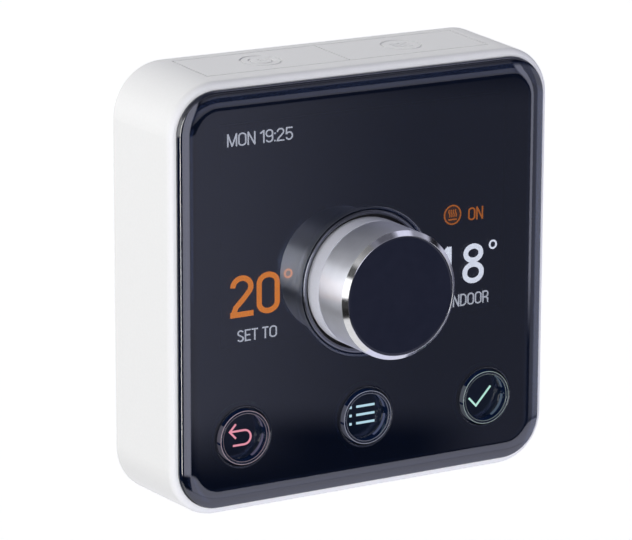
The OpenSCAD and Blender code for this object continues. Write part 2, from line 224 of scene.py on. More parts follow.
def cell_paint(name, flipped):
    """A dark sleeve with a plain copper-coloured band at the cell's button end."""
    m = mottled(name, (0.05, 0.05, 0.06), 0.1, 0.0015, (0.22, 0.32), 0.05)
    coords = add(m, "ShaderNodeTexCoord")
    parts = add(m, "ShaderNodeSeparateXYZ")
    link(m, coords.outputs["Generated"], parts.inputs["Vector"])
    low, high = (0.24, 0.25) if flipped else (0.75, 0.76)
    band = step(m, parts.outputs["Z"], low, high, flipped)
    return two_tone(m, band, (0.035, 0.036, 0.045), (0.62, 0.24, 0.09))


HUB = mottled("hub_black", (0.05, 0.05, 0.055), 0.1, 0.0006, (0.45, 0.6), 0.2)
CHIP = mottled("chip_black", (0.03, 0.03, 0.033), 0.2, 0.0004, (0.5, 0.7), 0.3)
SWITCH = mottled("switch_metal", (0.6, 0.6, 0.6), 0.06, 0.0008, (0.28, 0.4), 0.1, 1.0)
NICKEL = mottled("contact_nickel", (0.66, 0.64, 0.58), 0.05, 0.001, (0.2, 0.34), 0.1, 1.0)
PAINT = {name: BLACK for name in NODES}
PAINT.update(
    body_shell=WHITE, left_key=WHITE, right_key=WHITE, rear_cover=PLATE, wall_plate=PLATE,
    front_lens=LENS, display_panel=SCREEN, dial_sleeve=METAL, dial_cap=CAP,
    lens_adhesive=mottled("adhesive_black", (0.02, 0.02, 0.022), 0.15, 0.0004, (0.7, 0.85), 0.3),
    display_backlight=mottled("frame_white", (0.74, 0.75, 0.73), 0.03, 0.0008, (0.4, 0.55), 0.15),
    display_ribbon=ribbon_paint(), main_board=board_paint(),
    display_connector=mottled("connector_ivory", (0.72, 0.66, 0.5), 0.05, 0.0006, (0.4, 0.55), 0.15),
    button_leds=mottled("led_white", (0.85, 0.82, 0.6), 0.05, 0.0005, (0.25, 0.4), 0.1),
    radio_module=mottled("shield_tin", (0.62, 0.62, 0.6), 0.05, 0.0012, (0.26, 0.38), 0.15, 1.0),
    encoder_body=SWITCH, front_switches=SWITCH, encoder_shaft=STEEL, dial_hub=HUB,
    board_chips=CHIP, temperature_sensor=CHIP, top_switches=CHIP,
    battery_springs=NICKEL, battery_contacts=NICKEL,
    case_screws=mottled("screw_zinc", (0.66, 0.66, 0.68), 0.06, 0.0005, (0.24, 0.36), 0.2, 1.0),
)
PAINT["board_screws"] = PAINT["case_screws"]
for k in (1, 2, 3, 4):
    PAINT[f"battery_{k}"] = cell_paint(f"cell_sleeve_{k}", k % 2 == 0)
for name, node in NODES.items():
    if name.endswith("_plunger"):
        PAINT[name] = HUB
    node.data.materials.clear()
    node.data.materials.append(PAINT[name])


# ---------------------------------------------------------------- mesh helpers
def new_object(name, bm, paint, smooth_angle=35.0):
    """An object from a bmesh, shaded smooth up to edges of the given angle in degrees."""
    bmesh.ops.remove_doubles(bm, verts=bm.verts, dist=1e-7)
    bmesh.ops.recalc_face_normals(bm, faces=bm.faces)
    mesh = bpy.data.meshes.new(name)
    bm.to_mesh(mesh)
    bm.free()
    for p in mesh.polygons:
        p.use_smooth = True
    mesh.set_sharp_from_angle(angle=math.radians(smooth_angle))
    mesh.materials.append(paint)
    obj = bpy.data.objects.new(name, mesh)
    SCENE.collection.objects.link(obj)
    return obj


def loop_verts(bm, points):
    return [bm.verts.new(p) for p in points]


def loop_edges(bm, verts):
    return [bm.edges.get((a, b)) or bm.edges.new((a, b)) for a, b in zip(verts, verts[1:] + verts[:1])]


def bridge(bm, a, b):
    """Quads between two loops of the same length."""
    n = len(a)
    for i in range(n):
        j = (i + 1) % n
        bm.faces.new((a[i], a[j], b[j], b[i]))


def cap(bm, loops):
    """Fills the flat area between an outer loop and any holes."""
    edges = [e for loop in loops for e in loop_edges(bm, loop)]
    bmesh.ops.triangle_fill(bm, edges=edges, use_beauty=True)


def rounded_loop(corner, out, y, steps=28):
    """A rounded square with its corner centres at +-corner and corner radius out, in the plane y."""
    points = []
    for k in range(4):
        cx = corner * (1 if k in (0, 3) else -1)
        cz = corner * (1 if k in (0, 1) else -1)
        for i in range(steps + 1):
            a = math.pi / 2 * (k + i / steps)
            points.append((cx + out * math.cos(a), y, cz + out * math.sin(a)))
    return points


def circle_loop(x, z, r, y, steps=96):
    return [(x + r * math.cos(2 * math.pi * i / steps), y, z + r * math.sin(2 * math.pi * i / steps))
            for i in range(steps)]


def lathe(name, profile, paint, x=0.0, z=0.0, steps=128, smooth_angle=30.0):
    """Turns (radius, y) points round the depth axis at x, z.

    The profile's ends close on the axis or on each other.
    """
    bm = bmesh.new()
    rings = []
    for r, y in profile:
        if r < 1e-7:
            rings.append([bm.verts.new((x, y, z))])
        else:
            rings.append(loop_verts(bm, circle_loop(x, z, r, y, steps)))
    pairs = list(zip(rings, rings[1:]))
    if len(rings[0]) > 1:
        pairs.append((rings[-1], rings[0]))
    for a, b in pairs:
        if len(a) == 1 or len(b) == 1:
            tip, ring = (a[0], b) if len(a) == 1 else (b[0], a)
            for i in range(len(ring)):
                bm.faces.new((tip, ring[i], ring[(i + 1) % len(ring)]))
        else:
            bridge(bm, a, b)
    return new_object(name, bm, paint, smooth_angle)


def arc(cx, cy, r, a0, a1, n):
    """Points on a circle in the (radius, y) plane, angles in degrees."""
    return [(cx + r * math.cos(math.radians(a0 + (a1 - a0) * i / n)),
             cy + r * math.sin(math.radians(a0 + (a1 - a0) * i / n))) for i in range(n + 1)]


# ---------------------------------------------------------------- lens
lens_lo, lens_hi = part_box("front_lens")
FACE_Y = lens_lo.y
LENS_BACK_Y = lens_hi.y
LENS_HALF = lens_hi.x
CORNER_C = 36.7 * MM        # from the middle to the centre of a corner's arc
PILLOW = 4.2 * MM           # width of the border that curves back
EDGE_R = 0.9 * MM
LAND = 0.25 * MM            # flat strip kept beside each edge of the face and of the back
CHAMFER = 0.05 * MM         # along the back's edges
dial_lo, dial_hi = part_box("dial_sleeve")
DIAL_R = dial_hi.x
HOLE_R = 16.05 * MM         # dial hole
HOLE_ROUND = 0.8 * MM
LINING_R = 6.62 * MM        # outside of the lining in a button hole
LINING_GAP = 0.04 * MM
BUTTON_HOLE_ROUND = 0.12 * MM
BUTTONS = ["back_button", "menu_button", "confirm_button"]


def button_centre(node):
    lo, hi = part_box(node)
    return (lo.x + hi.x) / 2, (lo.z + hi.z) / 2


def lens_profile():
    """(radius beyond the corner centres, y) from the face's flat to the back edge."""
    u = LENS_HALF - CORNER_C
    base = LENS_BACK_Y - 0.2 * MM
    drop = base - FACE_Y
    wide = PILLOW - EDGE_R
    big = (wide ** 2 + drop ** 2 - EDGE_R ** 2) / (2 * (drop - EDGE_R))
    a = math.asin(wide / (big - EDGE_R))
    points = []
    for i in range(17):
        t = a * i / 16
        points.append((u - PILLOW + big * math.sin(t), FACE_Y + big - big * math.cos(t)))
    for i in range(1, 13):
        t = a + (math.pi / 2 - a) * i / 12
        points.append((u - EDGE_R + EDGE_R * math.sin(t), base - EDGE_R * math.cos(t)))
    return points + [(u, LENS_BACK_Y - CHAMFER), (u - CHAMFER, LENS_BACK_Y)]


def build_lens():
    """The tinted lens with its four holes, whose walls are black."""
    bm = bmesh.new()
    profile = lens_profile()
    outer = [loop_verts(bm, rounded_loop(CORNER_C, u, y)) for u, y in profile]
    inner_face = loop_verts(bm, rounded_loop(CORNER_C, profile[0][0] - LAND, FACE_Y))
    inner_back = loop_verts(bm, rounded_loop(CORNER_C, profile[-1][0] - LAND, LENS_BACK_Y))
    chain = [inner_face] + outer + [inner_back]
    for a, b in zip(chain, chain[1:]):
        bridge(bm, a, b)
    fronts, backs = [inner_face], [inner_back]
    holes = [(0.0, 0.0, HOLE_R, HOLE_ROUND)]
    for node in BUTTONS:
        x, z = button_centre(node)
        holes.append((x, z, LINING_R + LINING_GAP, BUTTON_HOLE_ROUND))
    for x, z, r, soft in holes:
        rings = [(r + soft + LAND, FACE_Y)]
        rings += arc(r + soft, FACE_Y + soft, soft, -90, -180, 10)
        rings += [(r, LENS_BACK_Y - CHAMFER), (r + CHAMFER, LENS_BACK_Y), (r + CHAMFER + LAND, LENS_BACK_Y)]
        loops = [loop_verts(bm, circle_loop(x, z, q, y)) for q, y in rings]
        for a, b in zip(loops, loops[1:]):
            bridge(bm, a, b)
        fronts.append(loops[0])
        backs.append(loops[-1])
    cap(bm, fronts)
    cap(bm, backs)
    lens = new_object("lens_body", bm, LENS, 40)
    lens.data.materials.append(BLACK)
    near = 0.01 * MM
    for p in lens.data.polygons:
        reach = min(math.hypot(p.center.x - x, p.center.z - z) - r for x, z, r, _ in holes)
        on_wall = reach < 2 * near and abs(p.normal.y) < 0.3
        on_back = reach < CHAMFER + LAND + near and p.center.y > LENS_BACK_Y - CHAMFER - near
        if on_wall or on_back:
            p.material_index = 1
    return lens


lens = build_lens()
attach(lens, "head")
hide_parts("front_lens")


def build_print():
    """The black print on the back of the lens, over the case's white rim."""
    bm = bmesh.new()
    y_front = LENS_BACK_Y + 0.03 * MM
    y_back = y_front + 0.05 * MM
    out = LENS_HALF - CORNER_C - CHAMFER
    inner = out - 4.4 * MM
    rings = [(out, y_front), (out, y_back), (inner, y_back), (inner, y_front)]
    loops = [loop_verts(bm, rounded_loop(CORNER_C, u, y)) for u, y in rings]
    for a, b in zip(loops, loops[1:] + loops[:1]):
        bridge(bm, a, b)
    piece = new_object("lens_print", bm, BLACK, 30)
    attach(piece, "head")


build_print()


def build_lip(name, x, z, out, inner, height, depth, paint):
    """A ring that lines one of the lens's holes, with a rounded front edge."""
    mid, half = (out + inner) / 2, (out - inner) / 2
    y0 = FACE_Y + 0.03 * MM
    angles = [math.radians(t) for t in range(0, 181, 10)]
    profile = [(mid + half * math.cos(t), y0 + height * (1 - math.sin(t))) for t in angles]
    profile += [(inner, FACE_Y + depth), (out, FACE_Y + depth)]
    piece = lathe(name, profile, paint, x, z, steps=160, smooth_angle=30)
    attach(piece, "head")


build_lip("lens_lip_dial", 0.0, 0.0, HOLE_R - 0.03 * MM, DIAL_R + 0.72 * MM, 0.38 * MM, 1.55 * MM, LIP)
for node in BUTTONS:
    build_lip("lens_lip_" + node.split("_")[0], *button_centre(node),
              LINING_R, LINING_R - 0.1 * MM, 0.1 * MM, 1.5 * MM, BLACK)


# ---------------------------------------------------------------- battery springs
WIRE_R = 0.32 * MM


def coil(bm, base, tip, r0, r1, turns=4.0, steps=120, sides=8):
    """A closed wire wound from radius r0 at base to r1 at tip, two points on a line along Z."""
    rows = []
    for i in range(steps + 1):
        t = i / steps
        a = 2 * math.pi * turns * t
        r = r0 + (r1 - r0) * t
        centre = base.lerp(tip, t) + Vector((r * math.cos(a), r * math.sin(a), 0))
        out = Vector((math.cos(a), math.sin(a), 0))
        up = Vector((0, 0, 1))
        rows.append(loop_verts(bm, [centre + out * WIRE_R * math.cos(b) + up * WIRE_R * math.sin(b)
                                    for b in [2 * math.pi * k / sides for k in range(sides)]]))
    for a, b in zip(rows, rows[1:]):
        bridge(bm, a, b)
    bm.faces.new(rows[0])
    bm.faces.new(rows[-1])


def build_springs():
    """A tapered contact spring against the flat end of each cell."""
    lo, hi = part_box("battery_springs")
    for k in (1, 2, 3, 4):
        cell_lo, cell_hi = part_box(f"battery_{k}")
        x, y = (cell_lo.x + cell_hi.x) / 2, (cell_lo.y + cell_hi.y) / 2
        if k % 2 == 0:
            base_z, tip_z = hi.z - WIRE_R, cell_hi.z + WIRE_R
        else:
            base_z, tip_z = lo.z + WIRE_R, cell_lo.z - WIRE_R
        bm = bmesh.new()
        coil(bm, Vector((x, y, base_z)), Vector((x, y, tip_z)), 3.9 * MM, 2.5 * MM)
        piece = new_object(f"battery_spring_{k}", bm, NICKEL, 50)
        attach(piece, "head")
        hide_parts("battery_springs")


build_springs()


# ---------------------------------------------------------------- dial
BEVEL = 1.05 * MM           # polished front edge
SLEEVE_T = 1.15 * MM        # wall thickness
GROOVE_UP = 4.7 * MM        # from the sleeve's back edge to its groove
GROOVE_HALF = 0.13 * MM
GROOVE_DEEP = 0.6 * MM


def sleeve_profile(back, front, groove):
    """(radius, y) round the sleeve's wall: outside from the back to the bevel, then back inside."""
    r = DIAL_R
    return [(r - SLEEVE_T, back), (r - 0.15 * MM, back), (r - 0.04 * MM, back - 0.04 * MM),
            (r, back - 0.15 * MM), (r, groove + GROOVE_HALF), (r - GROOVE_DEEP, groove + GROOVE_HALF),
            (r - GROOVE_DEEP, groove - GROOVE_HALF), (r, groove - GROOVE_HALF),
            (r, front + BEVEL + 0.08 * MM), (r - 0.03 * MM, front + BEVEL - 0.03 * MM),
            (r - BEVEL + 0.03 * MM, front + 0.03 * MM), (r - BEVEL - 0.04 * MM, front),
            (r - SLEEVE_T + 0.03 * MM, front), (r - SLEEVE_T, front + 0.03 * MM)]


def build_dial():
    """The turned sleeve, polished on its bevel and blasted behind its groove, and the dark disc in it."""
    back, front = dial_hi.y, dial_lo.y
    groove = back - GROOVE_UP
    profile = sleeve_profile(back, front, groove)
    sleeve = lathe("dial_shell", profile, METAL, steps=192, smooth_angle=16)
    sleeve.data.materials.append(POLISHED)
    sleeve.data.materials.append(DIAL_BASE)
    for p in sleeve.data.polygons:
        if p.center.y < front + BEVEL and p.normal.y < -0.3:
            p.material_index = 1
        elif p.center.y > groove + 0.1 * MM:
            p.material_index = 2
    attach(sleeve, "dial")
    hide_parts("dial_sleeve")
    lo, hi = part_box("dial_cap")
    r = hi.x
    profile = [(0, lo.y), (r - 0.6 * MM, lo.y), (r - 0.12 * MM, lo.y),
               (r - 0.03 * MM, lo.y + 0.03 * MM), (r, lo.y + 0.12 * MM), (r, hi.y), (0, hi.y)]
    disc = lathe("dial_disc", profile, CAP, steps=192)
    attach(disc, "dial")
    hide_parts("dial_cap")


build_dial()


# ---------------------------------------------------------------- buttons
BUTTON_R = 5.95 * MM
CUP_R = 5.42 * MM
CUP_FLOOR = 2.9 * MM        # below the button's front
CUP_EDGE = 0.2 * MM         # radius of the cup's rounded edges
FLANGE_T = 0.7 * MM
# radius, tint and grey of the glowing strips that paint highlights inside a cup's wall and a reflection
# round it
PAINTED_REFLECTION_R = BUTTON_R + 0.1 * MM
PAINTED_HIGHLIGHT_TINT = (0.70, 0.82, 1.25)
PAINTED_REFLECTION_GREY = (0.50, 0.53, 0.76)
QUARTER = [math.radians(t) for t in (0, 22, 45, 68, 90)]


def sector(name, r0, r1, y0, y1, a0, a1, x, z, paint, steps=24):
    """A closed piece of a tube between two angles."""
    bm = bmesh.new()
    rows = []
    for i in range(steps + 1):
        t = math.radians(a0 + (a1 - a0) * i / steps)
        rows.append(loop_verts(bm, [(x + r * math.cos(t), y, z + r * math.sin(t))
                                    for r, y in ((r0, y0), (r1, y0), (r1, y1), (r0, y1))]))
    for a, b in zip(rows, rows[1:]):
        bridge(bm, a, b)
    bm.faces.new(rows[0])
    bm.faces.new(rows[-1])
    return new_object(name, bm, paint, 30)


def cup_profile(front, back, flange):
    """(radius, y) from the middle of the cup's floor, over its rim, to the middle of its back."""
    floor_y, rim_y = front + CUP_FLOOR, front + CUP_EDGE
    profile = [(0, floor_y), (CUP_R - 3 * CUP_EDGE, floor_y), (CUP_R - CUP_EDGE, floor_y),
               (CUP_R, floor_y - CUP_EDGE), (CUP_R, rim_y)]
    profile += [(CUP_R + CUP_EDGE * (1 - math.cos(t)), rim_y - CUP_EDGE * math.sin(t)) for t in QUARTER[1:]]
    profile += [(BUTTON_R - CUP_EDGE * (1 - math.sin(t)), rim_y - CUP_EDGE * math.cos(t)) for t in QUARTER]
    return profile + [(BUTTON_R, back - FLANGE_T), (flange, back - FLANGE_T), (flange, back), (0, back)]


def build_button(node, body, tint):
    """A clear cup with painted glow: two fine rings on its rim, highlight strips inside its wall,
    reflection strips round it.
    """
    lo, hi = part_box(node)
    x, z = button_centre(node)
    front, back = lo.y, hi.y
    piece = lathe(node + "_cap", cup_profile(front, back, hi.x - x), CLEAR, x, z, steps=128)
    piece.data.materials.append(FLOOR_PAINT)
    for p in piece.data.polygons:
        if p.center.y > back - 0.01 * MM:
            p.material_index = 1
    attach(piece, body)
    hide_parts(node)
    lit = []
    # two rings that glow on the rim: painted highlight lines
    for k, r, y, power in ((1, BUTTON_R + 0.02 * MM, front + 0.16 * MM, 0.4),
                           (2, CUP_R - 0.02 * MM, front + 0.2 * MM, 0.2)):
        paint = glow(f"{node}_rim_{k}", tint, power)
        lit.append(lathe(f"{node}_ring_{k}", arc(r, y, 0.06 * MM, 0, 330, 11), paint, x, z,
                         steps=128, smooth_angle=60))
    # strips that glow inside the wall on the right: painted highlights
    paint = glow(node + "_wall", tuple(t * w for t, w in zip(tint, PAINTED_HIGHLIGHT_TINT)), 0.10)
    for k, a0, a1 in ((1, -62, -4), (2, 14, 48)):
        lit.append(sector(f"{node}_strip_{k}", CUP_R - 0.07 * MM, CUP_R - 0.01 * MM,
                          front + 1.6 * MM, front + 2.4 * MM, a0, a1, x, z, paint))
    # strips that glow just outside the wall on the left: a painted reflection
    grey = tuple(0.35 * t + g for t, g in zip(tint, PAINTED_REFLECTION_GREY))
    for k, a0, a1, power in ((1, 148, 184, 0.085), (2, 190, 240, 0.07)):
        paint = glow(f"{node}_painted_reflection_{k}", grey, power)
        lit.append(sector(f"{node}_painted_reflection_{k}", PAINTED_REFLECTION_R - 0.06 * MM, PAINTED_REFLECTION_R,
                          front + 0.35 * MM, front + 2.2 * MM, a0, a1, x, z, paint))
    for part in lit:
        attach(part, body)


for node, body, slot, tint in (("back_button", "back_push", "icon_red", (1.0, 0.78, 0.92)),
                               ("menu_button", "menu_push", "icon_cyan", (0.74, 0.78, 1.0)),
                               ("confirm_button", "confirm_push", "icon_mint", (0.80, 1.0, 0.96))):
    build_button(node, body, tint)


# ---------------------------------------------------------------- signs
def curve_points(cx, cy, rx, ry, a0, a1, n=14):
    """Points on an ellipse, angles in degrees."""
    return [(cx + rx * math.cos(math.radians(a0 + (a1 - a0) * i / n)),
             cy + ry * math.sin(math.radians(a0 + (a1 - a0) * i / n))) for i in range(n + 1)]


def ribbon(points, width, closed=False):
    """Quads along a path, mitred at its corners."""
    points = [Vector(p) for p in points]
    points = [p for i, p in enumerate(points) if i == 0 or (p - points[i - 1]).length > 1e-9]
    n = len(points)
    sides = []
    for i, p in enumerate(points):
        before = points[i - 1] if (closed or i > 0) else None
        after = points[(i + 1) % n] if (closed or i < n - 1) else None
        u = (p - before).normalized() if before is not None else None
        v = (after - p).normalized() if after is not None else None
        u, v = u or v, v or u
        half = (u + v).normalized()
        normal = Vector((-half.y, half.x))
        stretch = min(1.0 / max(normal.dot(Vector((-u.y, u.x))), 0.2), 2.0)
        offset = normal * width / 2 * stretch
        sides.append((p + offset, p - offset))
    pairs = list(zip(sides, sides[1:])) + ([(sides[-1], sides[0])] if closed else [])
    return [[a[0], a[1], b[1], b[0]] for a, b in pairs]


def oval(cx, cy, rx, ry, w, flat=0.0):
    """A closed stroke: an ellipse with straight sides of the given length."""
    top = curve_points(cx, cy + flat / 2, rx, ry, 0, 180)
    bottom = curve_points(cx, cy - flat / 2, rx, ry, 180, 360)
    return ribbon(top + bottom, w, True) if flat else ribbon(top[:-1] + bottom[:-1], w, True)


def glyph(c, w):
    """(advance width, quads) of one character with a cap height of 1 and a stroke of w."""
    h = w / 2
    wide = {"M": 0.78, "N": 0.62, "O": 0.64, "D": 0.60, "R": 0.58, "S": 0.56, "E": 0.50, "T": 0.54, "I": w,
            ":": w, " ": 0.2, "_": 0.15, "1": 0.34}.get(c, 0.6)
    mid = wide / 2
    rx = mid - h
    lines = []
    if c in "0O":
        return wide, oval(mid, 0.5, rx, 0.26 - h, w, 0.48)
    if c == "8":
        return wide, oval(mid, 0.26, rx, 0.26 - h, w, 0.03) + oval(mid, 0.755, rx - 0.02, 0.245 - h, w)
    if c == "9":
        tail = curve_points(mid, 0.26, rx, 0.26 - h, 195, 360) + [(wide - h, 0.7)]
        return wide, oval(mid, 0.7, rx, 0.27 - h, w, 0.06) + ribbon(tail, w)
    if c == "1":
        lines = [[(wide - h, 0), (wide - h, 1)], [(0.0, 0.775), (0.09, 0.80), (wide - h, 0.97)]]
    if c == "2":
        top = curve_points(mid, 0.72, rx, 0.28 - h, 180, -30)
        lines = [top + [(0.55 * wide, 0.42), (0.24 * wide, 0.24), (h * 1.05, 0.06)], [(0, h), (wide, h)]]
    if c == "5":
        bowl = curve_points(mid, 0.33, rx, 0.33 - h, 150, -158, 20)
        lines = [[(wide * 0.93, 1 - h), (0.085 + h * 0.3, 1 - h), (h + 0.02, 0.46)], bowl]
    if c == "S":
        upper = curve_points(mid, 0.74, rx - 0.01, 0.26 - h, 20, 230)
        lower = curve_points(mid, 0.26, rx, 0.26 - h, 50, -160)
        lines = [upper + lower]
    if c == ":":
        return wide, [[(0, a), (w, a), (w, a + w * 1.1), (0, a + w * 1.1)] for a in (0.02, 0.58)]
    if c in "MNEDRI":
        lines.append([(h, 0), (h, 1)])
    if c in "MN":
        lines.append([(wide - h, 0), (wide - h, 1)])
    if c == "M":
        lines += [[(h * 0.9, 1), (mid, 0.04)], [(wide - h * 0.9, 1), (mid, 0.04)]]
    if c == "N":
        lines.append([(h * 0.9, 1), (wide - h * 0.9, 0)])
    if c == "E":
        lines += [[(0, a), (wide - b, a)] for a, b in ((h, 0), (0.52, 0.03), (1 - h, 0.005))]
    if c == "T":
        lines = [[(0, 1 - h), (wide, 1 - h)], [(mid, 0), (mid, 1)]]
    if c == "D":
        lines.append([(0, h)] + curve_points(mid * 0.8, 0.32, wide - mid * 0.8 - h, 0.32 - h, -90, 0)
                     + curve_points(mid * 0.8, 0.68, wide - mid * 0.8 - h, 0.32 - h, 0, 90) + [(0, 1 - h)])
    if c == "R":
        lines += [[(0, 0.47)] + curve_points(mid, 0.72, wide - mid - h, 0.25, -90, 90)[:-1]
                  + [(mid, 1 - h), (0, 1 - h)],
                  [(mid * 0.9, 0.47), (wide - h - 0.02, 0.36), (wide - h, 0)]]
    return wide, [q for line in lines for q in ribbon(line, w)]


def prism(name, groups, depth, paint, matrix, place=lambda u, v: (u, v)):
    """Closed solids from groups of overlapping flat quads, raised by depth over the matrix's plane."""
    bm = bmesh.new()
    for quads in groups:
        verts, faces = [], []
        for q in quads:
            faces.append(list(range(len(verts), len(verts) + len(q))))
            verts += [Vector(place(*p)) for p in q]
        if not faces:
            continue
        scale = max(v.length for v in verts)
        out = delaunay_2d_cdt([v / scale for v in verts], [], faces, 1, 1e-5)
        base = [bm.verts.new((p.x * scale, p.y * scale, 0)) for p in out[0]]
        tris = [bm.faces.new([base[i] for i in tri]) for tri, origin in zip(out[2], out[5]) if origin]
        bmesh.ops.delete(bm, geom=[v for v in base if not v.link_faces], context="VERTS")
        made = bmesh.ops.extrude_face_region(bm, geom=tris)
        for v in made["geom"]:
            if isinstance(v, bmesh.types.BMVert):
                v.co.z = depth
    bm.transform(matrix)
    return new_object(name, bm, paint, 30)


def facing_front(x, y, z):
    """A plane with u along +X, v along +Z and its raised side toward -Y."""
    return Matrix.Translation((x, y, z)) @ Matrix.Rotation(math.pi / 2, 4, "X")


SIGN_DEPTH = 0.08 * MM
SIGN_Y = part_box("display_panel")[0].y - 0.02 * MM
SHIFT_X = 0.8               # the lens bends the view of the display by this much, mm
SHIFT_Z = -0.36
LETTER_GAP = 0.085          # for a cap height of 1
DEGREE_R = 0.85 * MM
SIGN_GREY = glow("sign_grey", (1.0, 0.76, 0.50), 4.2)
SIGN_WHITE = glow("sign_white", (1.0, 0.76, 0.50), 7.4)
SIGN_AMBER = glow("sign_amber", (1.0, 0.20, 0.0), 6.3)
SIGN_DULL = glow("sign_dull", (1.0, 0.19, 0.0), 3.6)
SIGN_BROWN = glow("sign_brown", (1.0, 0.22, 0.0), 0.32)


def display_sign(name, text, x, z, height, width, weight, paint, slot):
    """A word on the display, with its lower left corner at x, z, of a given cap height and width."""
    groups, pen = [], 0.0
    for c in text:
        advance, part = glyph(c, weight)
        groups.append([[(p[0] + pen, p[1]) for p in q] for q in part])
        pen += advance + LETTER_GAP
    pen -= LETTER_GAP
    piece = prism(name, groups, SIGN_DEPTH, paint, facing_front(x, SIGN_Y, z),
                  lambda u, v: (u * width / pen, v * height))
    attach(piece, "head")
    return piece


def display_shape(name, quads, paint, depth=SIGN_DEPTH):
    """A drawn sign on the display, in metres."""
    piece = prism(name, [quads], depth, paint, facing_front(0, SIGN_Y, 0))
    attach(piece, "head")
    return piece


def mm_points(points, x, z):
    """Points in mm around x, z, turned into metres."""
    return [((x + p[0]) * MM, (z + p[1]) * MM) for p in points]


def sign_at(x, z):
    """Where to draw what is seen at x, z, both in mm."""
    return (x + SHIFT_X) * MM, (z + SHIFT_Z) * MM


# name, text, left and bottom edge, cap height and width in mm, stroke for a cap height of 1, paint, slot
SIGNS = (
    ("sign_clock", "MON 19:25", -34.95, 33.9, 2.85, 16.1, 0.105, SIGN_GREY, "screen_grey"),
    ("sign_set_value", "20", -34.3, -3.7, 9.2, 12.2, 0.13, SIGN_AMBER, "screen_amber"),
    ("sign_set_word", "SET TO", -32.6, -9.2, 2.6, 9.8, 0.115, SIGN_GREY, "screen_grey"),
    ("sign_room_value", "1_8", 18.5, -3.7, 8.9, 11.65, 0.13, SIGN_WHITE, "screen_white"),
    ("sign_room_word", "INDOOR", 21.6, -8.7, 2.75, 9.9, 0.115, SIGN_GREY, "screen_grey"),
    ("sign_on", "ON", 25.9, 10.6, 2.9, 3.9, 0.12, SIGN_DULL, "screen_amber"),
)
for name, text, x, z, tall, wide, weight, paint, slot in SIGNS:
    display_sign(name, text, *sign_at(x, z), tall * MM, wide * MM, weight, paint, slot)
for name, x, z, paint, slot in (("sign_set_degree", -20.0, 4.5, SIGN_AMBER, "screen_amber"),
                                ("sign_room_degree", 32.5, 4.4, SIGN_WHITE, "screen_white")):
    circle = curve_points(*sign_at(x, z), DEGREE_R, DEGREE_R, 0, 350, 28)
    display_shape(name, ribbon(circle, 0.42 * MM, True), paint)

# the sign for heat: a filled circle with waves over a bar
hx, hz = 21.8 + SHIFT_X, 12.4 + SHIFT_Z
heat = ribbon(mm_points(curve_points(0, 0, 2.1, 2.1, 0, 352, 44), hx, hz), 0.32 * MM, True)
for k in (-0.84, -0.28, 0.28, 0.84):
    wave = [(k + 0.14 * math.sin(2 * math.pi * i / 12), -0.5 + 1.7 * i / 12) for i in range(13)]
    heat += ribbon(mm_points(wave, hx, hz), 0.26 * MM)
heat += ribbon(mm_points([(-1.1, -1.05), (1.1, -1.05)], hx, hz), 0.3 * MM)
display_shape("sign_heat", heat, SIGN_DULL)
disc = [mm_points([(0.0, 0.0)] + curve_points(0, 0, 1.9, 1.9, a, a + 10, 1), hx, hz)
        for a in range(0, 360, 10)]
display_shape("sign_heat_fill", disc, SIGN_BROWN, SIGN_DEPTH * 0.3)

# signs inside the clear buttons, in mm
ICON_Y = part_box("back_button")[0].y + CUP_FLOOR
ICON_DEPTH = 0.12 * MM
STROKE = 0.42


def button_sign(node, body, name, quads, paint, dx=0.0, dz=0.0):
    """A drawn sign on the floor of a cup, moved by dx, dz from its middle."""
    x, z = button_centre(node)
    piece = prism(name, [quads], ICON_DEPTH, paint, facing_front(x, ICON_Y, z),
                  lambda u, v: ((u + dx) * MM, (v + dz) * MM))
    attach(piece, body)


hook = curve_points(0.8, -0.6, 1.6, 1.6, 90, -90)
arrow = ribbon([(-2.7, 1.0), (0.8, 1.0)] + hook + [(-2.0, -2.2)], STROKE)
arrow += ribbon([(-1.3, 2.6), (-2.8, 1.0), (-1.3, -0.6)], STROKE)
button_sign("back_button", "back_push", "icon_back", arrow,
            glow("glow_red", (0.80, 0.30, 0.40), 0.9), 0.5, -0.15)
bars = []
for k in (1.9, 0.0, -1.9):
    bars += ribbon([(-1.15, k), (3.5, k)], 0.5) + ribbon([(-2.9, k), (-2.35, k)], 0.55)
button_sign("menu_button", "menu_push", "icon_menu", bars,
            glow("glow_cyan", (0.48, 0.72, 0.85), 0.9), -0.15, 0.0)
tick = ribbon([(-2.8, 0.0), (-0.9, -2.0), (2.9, 2.1)], STROKE)
button_sign("confirm_button", "confirm_push", "icon_confirm", tick,
            glow("glow_mint", (0.44, 0.74, 0.66), 1.0), 0.0, -0.45)


# ---------------------------------------------------------------- top keys
KEY_X = 17.8 * MM
KEY_FALL = 0.8 / 23.85      # of the top face, for each unit of its depth
KEY_EDGE = 0.4 * MM
KEY_SIGN_Y = -10.5 * MM
ENGRAVE = 0.16 * MM


def apply_modifiers(obj):
    bpy.context.view_layer.update()
    mesh = bpy.data.meshes.new_from_object(obj.evaluated_get(bpy.context.evaluated_depsgraph_get()))
    obj.modifiers.clear()
    obj.data = mesh


